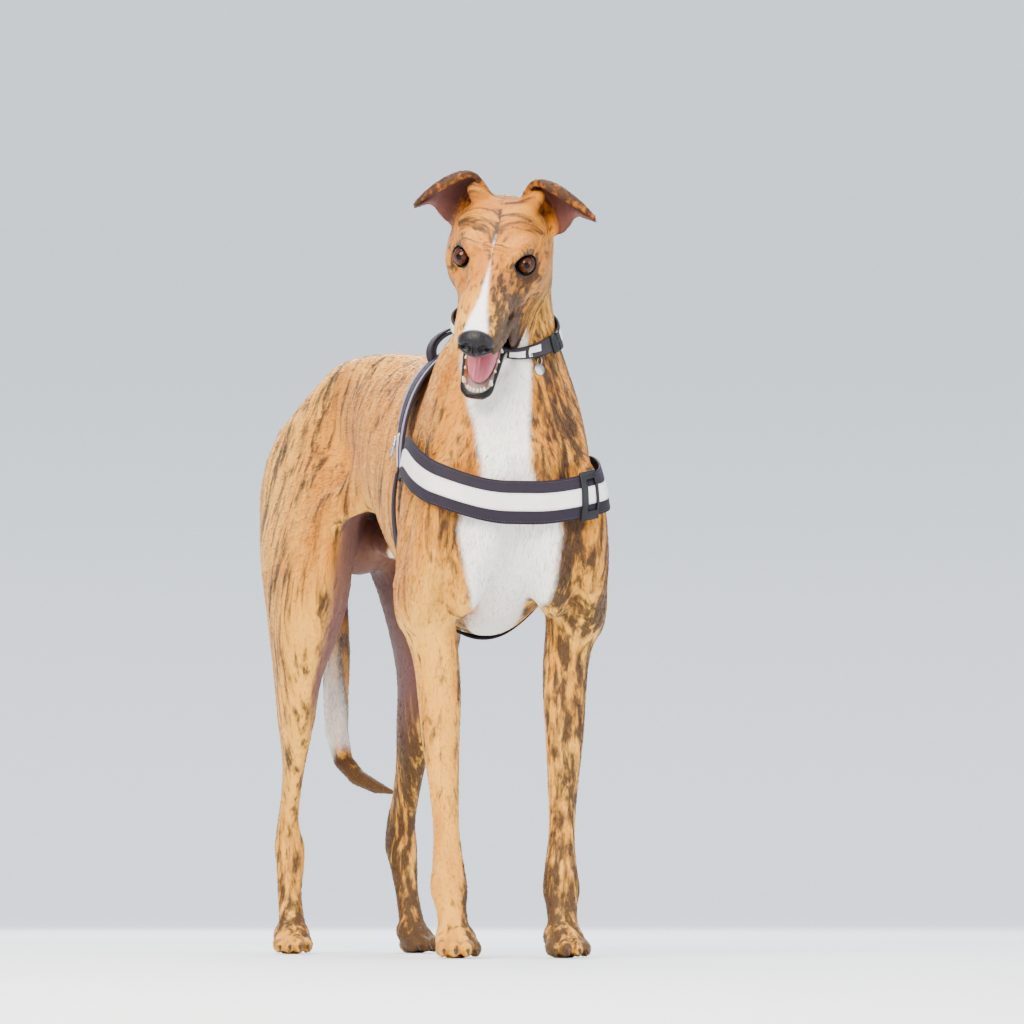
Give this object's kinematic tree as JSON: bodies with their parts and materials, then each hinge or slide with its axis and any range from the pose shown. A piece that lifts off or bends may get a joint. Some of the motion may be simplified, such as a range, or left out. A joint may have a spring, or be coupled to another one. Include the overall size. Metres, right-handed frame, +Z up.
{
  "type": "greyhound",
  "caption": "Standing greyhound with folded ears and open mouth, wearing a collar and a padded walking harness with a grab handle.",
  "frame": {"origin": "on the floor under the centre of the bounding box", "axes": "+Z up, -Y towards the head, +X towards the dog's left side"},
  "size_m": [0.3144, 0.8628, 0.9234],
  "materials": {
    "short_coat": "short smooth brindle fur",
    "ear_skin": "thin bare skin with short fur behind",
    "nose_leather": "moist pebbled skin",
    "lip_skin": "smooth dark lip skin with pale teeth",
    "tongue": "moist soft pink",
    "eye": "wet clear cornea over a brown iris",
    "collar_webbing": "tight woven webbing",
    "harness_webbing": "tight woven webbing with a pale stripe",
    "harness_padding": "padded mesh cloth with bound edges",
    "black_plastic": "moulded satin",
    "ring_steel": "polished welded wire"
  },
  "bodies": {
    "root": {"torso": "short_coat", "neck": "short_coat", "tail_base": "short_coat", "tail_middle": "short_coat", "tail_tip": "short_coat", "upper_arm_left": "short_coat", "forearm_left": "short_coat", "forepaw_left": "short_coat", "thigh_left": "short_coat", "lower_leg_left": "short_coat", "hindpaw_left": "short_coat", "upper_arm_right": "short_coat", "forearm_right": "short_coat", "forepaw_right": "short_coat", "thigh_right": "short_coat", "lower_leg_right": "short_coat", "hindpaw_right": "short_coat", "collar": "collar_webbing", "collar_buckle": "black_plastic", "eye_left": "eye", "eye_right": "eye", "head": "short_coat", "nose": "nose_leather", "ear_left": "ear_skin", "ear_right": "ear_skin", "lower_jaw": "lip_skin", "tongue": "tongue", "saddle": "harness_padding", "chest_strap": "harness_webbing", "girth_strap": "harness_webbing", "strap_slider": "black_plastic", "handle": "harness_webbing", "ring_left": "ring_steel", "ring_right": "ring_steel"}
  },
  "joints": []
}
